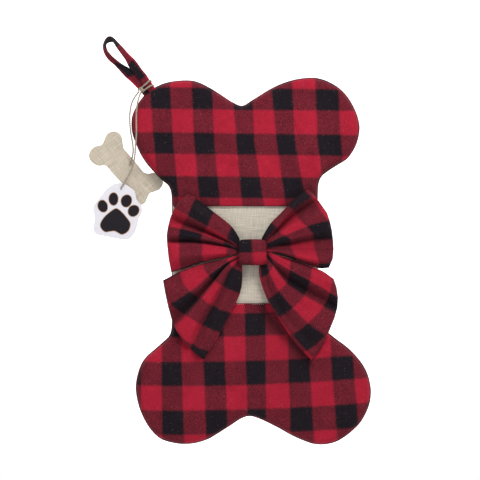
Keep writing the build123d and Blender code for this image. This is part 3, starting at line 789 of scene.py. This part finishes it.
TR = [
    (-15.5, 1.00, 37, 23, [(266.0, 251.7), (276.5, 254.8), (293.0, 259.8), (314.1, 267.6), (323.3, 271.6), (333.4, 278.8)]),
    (-25.2, 1.45, 37, 23, [(266.4, 252.8), (276.5, 258.6), (293.0, 265.4), (310.6, 273.6), (324.7, 280.0), (336.2, 287.4)]),
    (-24.1, 1.98, 39, 22.8, [(266.6, 254.0), (277.7, 262.4), (292.0, 270.9), (307.6, 279.4), (323.6, 288.4), (337.6, 297.4)]),
    (-13.6, 2.75, 43, 22.2, [(266.4, 255.4), (276.0, 267.2), (287.4, 278.9), (301.0, 287.0), (320.6, 297.6), (337.0, 307.4)]),
    (-23.0, 3.20, 45, 21.6, [(265.8, 256.6), (274.5, 270.6), (284.8, 284.6), (298.0, 296.0), (316.8, 307.6), (334.2, 317.4)]),
    (-22.4, 3.95, 46, 21.4, [(265.0, 258.0), (271.0, 274.5), (279.6, 290.6), (293.6, 306.8), (311.0, 323.0), (327.2, 334.6)]),
    (-19.0, 4.40, 48, 21.5, [(263.0, 260.0), (266.6, 278.0), (273.2, 296.0), (286.6, 314.6), (303.6, 333.4), (320.4, 349.0)]),
    (-23.5, 4.92, 48, 21.5, [(261.2, 261.4), (262.4, 278.4), (267.8, 296.4), (280.4, 316.6), (297.4, 337.6), (314.2, 355.4)]),
    (-14.5, 5.18, 48, 21.5, [(259.6, 262.2), (258.9, 272.7), (261.9, 285.6), (268.0, 300.9), (276.3, 315.0), (292.6, 339.4), (311.0, 359.4)]),
]
bow_ul = bow_lobe("bow_loop_left_cloth", UL, "bow_loop_left", ["bow_loop_left"], 0.10, 19, seed=1)
bow_ur = bow_lobe("bow_loop_right_cloth", UR, "bow_loop_right", ["bow_loop_right"], 0.10, 19, seed=2)
bow_tl = bow_lobe("bow_tail_left_cloth", TL, "bow_tail_left", ["bow_tail_left"], 0.035, 19, seed=3)
bow_tr = bow_lobe("bow_tail_right_cloth", TR, "bow_tail_right", ["bow_tail_right"], 0.035, 19, seed=4)


def knot_piece():
    """The centre wrap: a soft band drawn over the gathers, rounded top and bottom."""
    x0, x1, z0, z1 = 238.8, 266.2, 239.2, 265.0
    NX, NA = 40, 72
    verts, uvs, faces = [], [], []
    yc, zc = -0.0185, gz((z0 + z1) / 2)
    for i in range(NX):
        t = i / (NX - 1)
        x = x0 + (x1 - x0) * t
        side = 1 - abs(2 * t - 1) ** 5 * 0.13
        for a in range(NA):
            th = 2 * math.pi * a / NA
            c, s = math.cos(th), math.sin(th)
            e = 0.74
            hh = (z1 - z0) / 2 * G * side
            dd = 0.0108 * (0.93 + 0.07 * math.cos((t - 0.5) * math.pi))
            zz = hh * math.copysign(abs(s) ** e, s)
            yy = -dd * math.copysign(abs(c) ** e, c)
            fold = 0.0005 * math.sin(t * 13.0 + 0.7 * s) + 0.0003 * math.sin(t * 29.0 - 1.1 * s)
            k = 1 + fold / 0.011
            X = gx(x + 1.0 * s * (0.3 - t) * 0.8)
            verts.append((X, yc + yy * k, zc + zz * (1 + fold * 8)))
            uvs.append(((x - 252.0) / 21.0 + 1.0 + 0.02 * s, (-zz / G) / 13.0 + 1.0 + 0.10 * (t - 0.5)))
    for i in range(NX - 1):
        for a in range(NA):
            b = (a + 1) % NA
            faces.append((i * NA + a, (i + 1) * NA + a, (i + 1) * NA + b, i * NA + b))
    faces.append(tuple(reversed(range(NA))))
    faces.append(tuple((NX - 1) * NA + a for a in range(NA)))
    o = make_mesh("bow_knot", verts, faces, uvs, M_PLAID)
    V = np.array([list(q) for q in verts])
    tt = (V[:, 0] - V[:, 0].min()) / np.ptp(V[:, 0])
    zt = (V[:, 2].max() - V[:, 2]) / np.ptp(V[:, 2])
    # painted shade: the knot band is darkened at its pinched ends, along its bottom and in one pleat
    put_painted_shade(o, 0.45 * np.abs(2 * tt - 1) ** 5 + 0.55 * np.clip((zt - 0.72) / 0.28, 0, 1) ** 1.5 + 0.25 * np.exp(-((tt - 0.46 - 0.1 * zt) / 0.03) ** 2) * (zt > 0.45))
    bm = bmesh.new()
    bm.from_mesh(o.data)
    bmesh.ops.recalc_face_normals(bm, faces=bm.faces)
    bm.to_mesh(o.data)
    bm.free()
    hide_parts("bow_knot_wrap", "bow_gathered_centre")
    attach(o, "stocking")
    return o


knot = knot_piece()

# ------------------------------------------------------------------ hanging loop
TAPE = [  # outer edge, inner edge, depth of outer and of inner edge in mm
    ((145.0, 97.0), (153.5, 92.0), -2.4, -2.6), ((139.8, 90.6), (148.0, 86.8), -2.4, -3.4), ((135.6, 86.3), (144.4, 82.4), -2.4, -4.2), ((130.9, 81.6), (139.6, 77.2), -2.2, -4.4),
    ((125.1, 76.4), (134.2, 72.0), -1.8, -4.4), ((119.2, 69.9), (129.0, 68.0), -1.0, -4.4), ((113.9, 64.0), (122.5, 64.6), 0.0, -5.2),
    ((109.8, 60.5), (117.0, 60.8), 0.8, -6.6), ((106.3, 56.4), (111.5, 56.2), 1.6, -7.8), ((103.7, 51.1), (107.6, 51.6), 2.0, -8.4),
    ((102.9, 45.3), (105.9, 46.4), 2.0, -8.4), ((104.2, 41.2), (106.9, 43.9), 1.8, -8.0), ((106.6, 37.2), (109.0, 42.6), 1.6, -7.4),
    ((110.2, 36.1), (111.5, 42.1), 1.4, -7.6), ((113.6, 38.3), (113.6, 42.3), 1.6, -8.6), ((116.9, 41.7), (115.2, 44.3), 1.6, -9.0),
    ((122.7, 47.6), (117.4, 48.0), 0.2, -9.2), ((128.0, 53.5), (120.3, 52.1), -1.2, -8.8), ((133.9, 59.0), (123.0, 56.0), -2.4, -7.8),
    ((138.0, 64.0), (125.8, 60.2), -3.2, -7.0), ((142.1, 69.9), (129.0, 67.2), -3.8, -6.6), ((146.2, 74.6), (132.6, 72.0), -4.2, -6.4),
    ((149.1, 79.3), (137.4, 77.6), -4.4, -6.2), ((151.6, 82.8), (142.0, 82.8), -4.4, -5.8), ((154.4, 87.2), (147.4, 89.6), -4.2, -4.8), ((160.0, 94.0), (154.0, 97.0), -3.6, -3.6),
]


def tape_piece():
    outer, _ = resample([(a[0], a[1], ya) for a, b, ya, yb in TAPE], 120)
    inner, _ = resample([(b[0], b[1], yb) for a, b, ya, yb in TAPE], 120)
    mid = (outer[:, :2] + inner[:, :2]) / 2
    L = np.r_[0, np.cumsum(np.linalg.norm(np.diff(mid, axis=0), axis=1))]
    top = L[int(np.argmin(mid[:, 1]))]
    NA = 9
    verts, uvs, faces = [], [], []
    for i in range(120):
        for k in range(NA):
            t = k / (NA - 1)
            p = inner[i] * (1 - t) + outer[i] * t
            crown = 0.0006 * math.sin(math.pi * t)
            verts.append((gx(p[0]), p[2] / 1000.0 - crown, gz(p[1])))
            near_top = math.exp(-((L[i] - top) / 14.0) ** 2)
            v = 0.15 + t * (1.10 - 0.45 * near_top)
            uvs.append(((L[i] - top) / 20.5 + 0.5, v))
    for i in range(119):
        for k in range(NA - 1):
            a = i * NA + k
            faces.append((a, a + 1, a + NA + 1, a + NA))
    o = make_mesh("hanging_loop_cloth", verts, faces, uvs, M_PLAID)
    mod = o.modifiers.new("thick", "SOLIDIFY")
    mod.thickness = 0.0019
    mod.offset = 0.0
    mod2 = o.modifiers.new("round", "BEVEL")
    mod2.width = 0.0005
    mod2.segments = 2
    mod2.limit_method = "ANGLE"
    mod2.angle_limit = math.radians(50)
    apply_modifiers(o)
    return o


HINGE = Vector((0.0374, -0.0032, -0.0481))
DOWN = Vector((0.627, 0, -0.779))
ACROSS = Vector((0.779, 0, 0.627))
tape = tape_piece()
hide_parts("hanging_loop", "loop_tape_root")
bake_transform(tape)


# ------------------------------------------------------------------ twine
def frames_along(P):
    T = np.gradient(P, axis=0)
    T /= np.linalg.norm(T, axis=1)[:, None] + 1e-12
    n = np.cross(T[0], [0.3, 1.0, 0.2])
    n /= np.linalg.norm(n)
    N = [n]
    for i in range(1, len(P)):
        n = N[-1] - T[i] * np.dot(N[-1], T[i])
        n /= np.linalg.norm(n)
        N.append(n)
    N = np.array(N)
    return T, N, np.cross(T, N)


def tube(verts, faces, P, r, nseg=8, closed=False, wobble=0.0, seed=0.0):
    T, N, B = frames_along(P)
    base = len(verts)
    for i, p in enumerate(P):
        for k in range(nseg):
            a = 2 * math.pi * k / nseg
            rr = r * (1 + wobble * noise.noise(Vector((i * 0.31, k * 0.9, seed))))
            verts.append(p + rr * (math.cos(a) * N[i] + math.sin(a) * B[i]))
    m = len(P)
    for i in range(m - 1):
        for k in range(nseg):
            a, b = base + i * nseg + k, base + i * nseg + (k + 1) % nseg
            faces.append((a, b, b + nseg, a + nseg))
    faces.append(tuple(base + k for k in reversed(range(nseg))))
    faces.append(tuple(base + (m - 1) * nseg + k for k in range(nseg)))


def two_ply(name, P, d=0.0019, twist=0.0048, fuzz=0.0, seed=1):
    """Two plies laid round each other along the points P."""
    L = np.r_[0, np.cumsum(np.linalg.norm(np.diff(P, axis=0), axis=1))]
    n = max(12, int(L[-1] / 0.0006))
    s = np.linspace(0, L[-1], n)
    Q = np.column_stack([np.interp(s, L, P[:, k]) for k in range(3)])
    T, N, B = frames_along(Q)
    verts, faces = [], []
    off, r = d * 0.27, d * 0.32
    for ply in (0, 1):
        ph = 2 * math.pi * s / twist + ply * math.pi
        C = Q + off * (np.cos(ph)[:, None] * N + np.sin(ph)[:, None] * B)
        tube(verts, faces, C, r, 8, wobble=0.22, seed=seed + ply * 3)
    rng = np.random.default_rng(seed)
    for _ in range(int(fuzz * L[-1] * 1000)):
        i = int(rng.integers(2, n - 2))
        a = rng.uniform(0, 2 * math.pi)
        dirn = math.cos(a) * N[i] + math.sin(a) * B[i]
        p0 = Q[i] + dirn * d * 0.40
        ln = rng.uniform(0.0008, 0.0026)
        tip = p0 + dirn * ln * 0.5 + T[i] * ln * rng.uniform(-0.9, 0.9)
        mid = (p0 + tip) / 2 + dirn * ln * 0.14
        tube(verts, faces, np.array([p0, mid, tip]), 0.00005, 3)
    o = make_mesh(name, verts, faces, None, M_JUTE)
    return o


TO_BONE = [(34.9, -8.8, -60.9), (27.4, -7.1, -69.5), (23.4, -5.5, -81.9), (22.7, -5.0, -97.5),
           (23.9, -4.0, -112.5), (27.1, -1.0, -128.8), (26.4, 0.8, -141.2), (23.5, 5.0, -150.4)]
TO_PAW = [(36.9, -9.6, -62.2), (34.3, -11.2, -69.4), (31.8, -12.6, -81.9), (31.4, -12.8, -97.5),
          (31.9, -12.2, -113.8), (30.2, -9.6, -128.8), (29.4, -6.6, -143.8), (23.9, -3.5, -163.1), (12.6, -2.7, -179.8)]


def route(name, pts):
    c = bpy.data.curves.new(name, "CURVE")
    c.dimensions = "3D"
    c.resolution_u = 24
    sp = c.splines.new("NURBS")
    sp.points.add(len(pts) - 1)
    for p, q in zip(sp.points, pts):
        p.co = (q[0] / 1000, q[1] / 1000, q[2] / 1000, 1)
    sp.order_u = 3
    sp.use_endpoint_u = True
    o = bpy.data.objects.new(name, c)
    bpy.context.scene.collection.objects.link(o)
    bpy.context.view_layer.update()
    dg = bpy.context.evaluated_depsgraph_get()
    me = bpy.data.meshes.new_from_object(o.evaluated_get(dg))
    P = np.array([list(v.co) for v in me.vertices])
    bpy.data.objects.remove(o)
    bpy.data.meshes.remove(me)
    return P


for nm, node, pts, length, seed in (("twine_to_bone_tag_cloth", "twine_to_bone_tag", TO_BONE, 0.0948, 11), ("twine_to_paw_tag_cloth", "twine_to_paw_tag", TO_PAW, 0.1239, 12)):
    P = route(nm, pts)
    o = two_ply(nm, P, fuzz=0.35, seed=seed)
    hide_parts(node)
    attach(o, "twine")

# two turns round the tape, and the knot
for i, t in enumerate((0.0062, 0.0116)):
    c = HINGE + DOWN * t
    hw = (0.0098, 0.0084)[i]
    ring = []
    tilt = (0.05, 0.10)[i]
    for k in range(97):
        a = 2 * math.pi * k / 96
        ca, sa = math.cos(a), math.sin(a)
        u = hw * math.copysign(abs(ca) ** 0.75, ca)
        y = 0.0040 * math.copysign(abs(sa) ** 0.6, sa)
        q = c + ACROSS * u + Vector((0, y, 0)) + DOWN * (tilt * u + 0.0006 * math.sin(2 * a + i))
        ring.append(q)
    o = two_ply("twine_turn_%d" % (i + 1), np.array(ring), fuzz=0.2, seed=20 + i)
    if i == 0:
        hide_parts("twine_wraps")
    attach(o, "stocking")


def knot_turn(name, c, r1, r2, tilt, seed):
    ring = []
    for k in range(60):
        a = 2 * math.pi * k / 56
        p = Vector((r1 * math.cos(a), r2 * math.sin(a) * 0.7, r2 * math.sin(a)))
        p.rotate(Matrix.Rotation(tilt, 3, "Y"))
        ring.append(Vector(c) + p)
    o = two_ply(name, np.array(ring), d=0.0018, fuzz=0.3, seed=seed)
    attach(o, "stocking")
    return o


KC = (0.0376, -0.0088, -0.0586)
k1 = knot_turn("twine_knot_cloth", KC, 0.0022, 0.0015, 0.5, 31)
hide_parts("twine_knot")
knot_turn("twine_knot_over", (KC[0] - 0.0004, KC[1] - 0.0010, KC[2] + 0.0002), 0.0013, 0.0020, -0.4, 32)


# ------------------------------------------------------------------ tags
def plate(name, pts, y_front, y_back, mat, bevel, uv_rot=0.0, n=160, hole=None, segs=3):
    ring = spline_closed(pts, n)
    bm = bmesh.new()
    front = [bm.verts.new((gx(x), y_front, gz(y))) for x, y in ring]
    bk = [bm.verts.new((gx(x), y_back, gz(y))) for x, y in ring]
    bm.faces.new(front)
    bm.faces.new(list(reversed(bk)))
    for i in range(n):
        j = (i + 1) % n
        bm.faces.new((front[j], front[i], bk[i], bk[j]))
    bmesh.ops.recalc_face_normals(bm, faces=bm.faces)
    me = bpy.data.meshes.new(name)
    bm.to_mesh(me)
    bm.free()
    o = bpy.data.objects.new(name, me)
    bpy.context.scene.collection.objects.link(o)
    me.materials.append(mat)
    if bevel:
        m = o.modifiers.new("bevel", "BEVEL")
        m.width = bevel
        m.segments = segs
        m.limit_method = "ANGLE"
        m.angle_limit = math.radians(55)
        apply_modifiers(o)
        me = o.data
    layer = me.uv_layers.get("Cloth") or me.uv_layers.new(name="Cloth")
    ca, sa = math.cos(uv_rot), math.sin(uv_rot)
    for lp in me.loops:
        co = me.vertices[lp.vertex_index].co
        layer.data[lp.index].uv = (co.x * ca + co.z * sa, -co.x * sa + co.z * ca)
    me.polygons.foreach_set("use_smooth", [abs(p.normal.y) < 0.98 for p in me.polygons])
    return o


BONE = """114.6,130.7 119.2,133 121.9,137.6 122.4,142.6 123.8,148.3 127.6,152.9 131.1,156.8 136,162.5 139.9,167.5 144.1,172.2 149.1,173.1 153.3,172.3
158.2,174 161.6,177.6 163,181.6 162.1,185.5 159,189.3 154.4,191.2 149.6,193.1 147.1,197.7 145.2,201.9 141,204.6 136,203.4 132.4,199.4
131,194 127,187.6 120,181.2 114.6,175.5 109.3,169.4 105.8,165.6 102.4,165 98.5,165.4 94,163.7 90.1,160.2 88.4,155.2 90.1,149.9 94,146.4
98.5,145.1 102.0,143.6 104.1,138.8 106.2,134.2 109.6,131.7"""
PAW = """120.7,182.8 125.3,184.3 129.9,187.4 134.1,190.8 135.7,196.2 136.8,200.4 140.6,204.6 142,210 140.3,214.6 138.3,219.1 137.2,224.5 135.3,230.6
132.2,235.2 128.4,239 124.6,239.8 119.2,239 113.9,237.9 107.7,236.7 102.4,235.6 97.8,234.8 94.7,232.6 93.2,228.3 94,222.2 94.6,216.8
93,210.6 93.3,206.1 96.2,201.5 99.3,197.7 102.4,193.9 105.4,190.1 109.3,186.6 113.9,183.9 117.7,183"""
PALM = """116.9,208.8 120.7,211.5 125.3,216.5 129.2,221.8 129.9,225.3 128.4,229.9 125.3,232.9 121.5,234.1 117.7,232.2 114.2,230.6 110,231 105.4,231.6
102,229.1 100.3,225.3 101.6,221.1 105.4,216.1 110.8,211.5 114.6,209"""
parse = lambda s: [tuple(float(a) for a in p.split(",")) for p in s.split()]
bone = plate("bone_tag_cloth", [(x - 0.4, y) for x, y in parse(BONE)], 0.0066, 0.0089, M_LINEN_TAG, 0.0005, math.radians(40), n=220)
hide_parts("bone_tag_linen", "bone_tag_backing")
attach(bone, "bone_tag")

paw = plate("paw_tag_plate_cloth", parse(PAW), -0.0010, 0.0019, M_WHITE, 0.0006, n=220)
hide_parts("paw_tag_plate")
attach(paw, "paw_tag")


def grow(pts, d):
    P = np.array(pts, float)
    c = P.mean(0)
    T = np.roll(P, -1, 0) - np.roll(P, 1, 0)
    N = np.c_[T[:, 1], -T[:, 0]]
    N /= np.linalg.norm(N, axis=1)[:, None]
    if ((P + N - c) ** 2).sum() < ((P - c) ** 2).sum():
        N = -N
    return [tuple(p) for p in P + N * d]


pads = [("paw_palm", parse(PALM), "paw_tag_palm_pad")]
for i, (x, y, w, h, lean) in enumerate([(102.5, 206.1, 9.3, 11.9, -18), (113.3, 198.9, 9.0, 12.3, 0), (126.2, 200.8, 10.3, 12.1, 16), (133.4, 210.7, 10.2, 11.6, 42)]):
    ring = []
    for k in range(28):
        a = 2 * math.pi * k / 28
        px, py = w / 2 * math.cos(a), h / 2 * math.sin(a) * (1 + 0.04 * math.cos(a))
        ca, sa = math.cos(math.radians(lean)), math.sin(math.radians(lean))
        ring.append((x + px * ca - py * sa, y + px * sa + py * ca))
    pads.append(("paw_toe_%d" % (i + 1), ring, "paw_tag_toe_pads"))
first_toe = True
for nm, ring, node in pads:
    o = plate(nm, ring, -0.0018, -0.0006, M_FELT, 0.00025, n=90)
    if node == "paw_tag_palm_pad" or first_toe:
        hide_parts(node)
        if node == "paw_tag_toe_pads":
            first_toe = False
    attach(o, "paw_tag")
    b = plate(nm + "_scorched_rim", grow(ring, 0.55), -0.0013, -0.0005, M_BURNT, 0.0001, n=90)
    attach(b, "paw_tag")


# twine ends through the tag holes
def short_twine(name, pts, body, seed):
    P, _ = resample(pts, 60)
    o = two_ply(name, P / 1000.0, d=0.0018, fuzz=0.25, seed=seed)
    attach(o, body)
    return o


short_twine("twine_tie_on_bone_tag", [(25.2, 4.2, -148.6), (23.2, 4.8, -150.0), (22.2, 5.3, -151.6), (22.9, 7.0, -151.4), (23.6, 9.3, -150.6), (25.0, 9.8, -147.0)], "bone_tag", 41)
short_twine("twine_end_on_paw_tag", [(13.4, -2.9, -178.2), (12.7, -2.7, -179.6), (12.0, -2.2, -181.6), (11.8, -1.2, -182.4), (12.0, 0.6, -181.6), (12.4, 2.7, -180.2), (13.6, 3.1, -176.5)], "paw_tag", 42)


# ------------------------------------------------------------------ inner layers that stay as in the CAD model
def plain(nodes, mat):
    for n in nodes:
        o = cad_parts[n]
        o.data.materials.clear()
        o.data.materials.append(mat)


M_BATT = painted("wadding", (232, 230, 224), (246, 245, 240), 300, 0.98, 0.6)
M_LIN2 = painted("plain lining", (198, 188, 170), (216, 207, 190), 900, 0.95, 0.5)
M_SEAM = painted("seam edge flannel", (70, 20, 30), (124, 28, 42), 900, 0.95, 0.5)
plain(["head_front_batting", "foot_front_batting", "back_batting"], M_BATT)
plain(["head_front_lining", "pocket_front_lining", "back_lining"], M_LIN2)
plain(["side_seam_allowance"], M_SEAM)

# ------------------------------------------------------------------ stage
def add_plane(name, size, loc, rot, mat):
    bm = bmesh.new()
    h = size / 2
    vs = [bm.verts.new(p) for p in ((-h, -h, 0), (h, -h, 0), (h, h, 0), (-h, h, 0))]
    bm.faces.new(vs)
    me = bpy.data.meshes.new(name)
    bm.to_mesh(me)
    bm.free()
    o = bpy.data.objects.new(name, me)
    o.location = loc
    o.rotation_euler = rot
    bpy.context.scene.collection.objects.link(o)
    me.materials.append(mat)
    return o


floor = add_plane("floor", 24, (0.16, 0, -1.2), (0, 0, 0), M_FLOOR)
M_WALL = bpy.data.materials.new("bright sweep")
M_WALL.use_nodes = True
M_WALL.node_tree.nodes["Principled BSDF"].inputs["Emission Color"].default_value = (1, 1, 1, 1)
M_WALL.node_tree.nodes["Principled BSDF"].inputs["Emission Strength"].default_value = 1.0
wall = add_plane("backdrop", 24, (0.16, 4.6, 10.8), (math.radians(90), 0, 0), M_WALL)
bpy.context.scene.view_settings.view_transform = "Standard"

world = bpy.context.scene.world or bpy.data.worlds.new("studio")
bpy.context.scene.world = world
world.use_nodes = True
bgn = world.node_tree.nodes.get("Background") or world.node_tree.nodes.new("ShaderNodeBackground")
bgn.inputs[0].default_value = (1.0, 1.0, 1.0, 1)
bgn.inputs[1].default_value = 0.52


def area(name, size, energy, loc, target, color=(1, 1, 1)):
    l = bpy.data.lights.new(name, "AREA")
    l.shape = "RECTANGLE"
    l.size, l.size_y = size
    l.energy = energy
    l.color = color
    o = bpy.data.objects.new(name, l)
    bpy.context.scene.collection.objects.link(o)
    o.location = loc
    d = Vector(target) - Vector(loc)
    o.rotation_euler = d.to_track_quat("-Z", "Y").to_euler()
    return o


area("key from above", (0.7, 0.55), 21, (0.55, -1.05, 0.95), (0.16, 0, -0.25))
area("fill front", (1.6, 1.2), 4, (-0.6, -1.9, -0.1), (0.16, 0, -0.25))

cam = bpy.data.cameras.new("camera")
cam.lens = 120
cam.sensor_width = 36
cam.clip_end = 100
co = bpy.data.objects.new("camera", cam)
bpy.context.scene.collection.objects.link(co)
dist = 0.6 * 120 / 36
co.location = (gx(240), -dist - 0.004, gz(240))
co.rotation_euler = (math.radians(90), 0, 0)
bpy.context.scene.camera = co
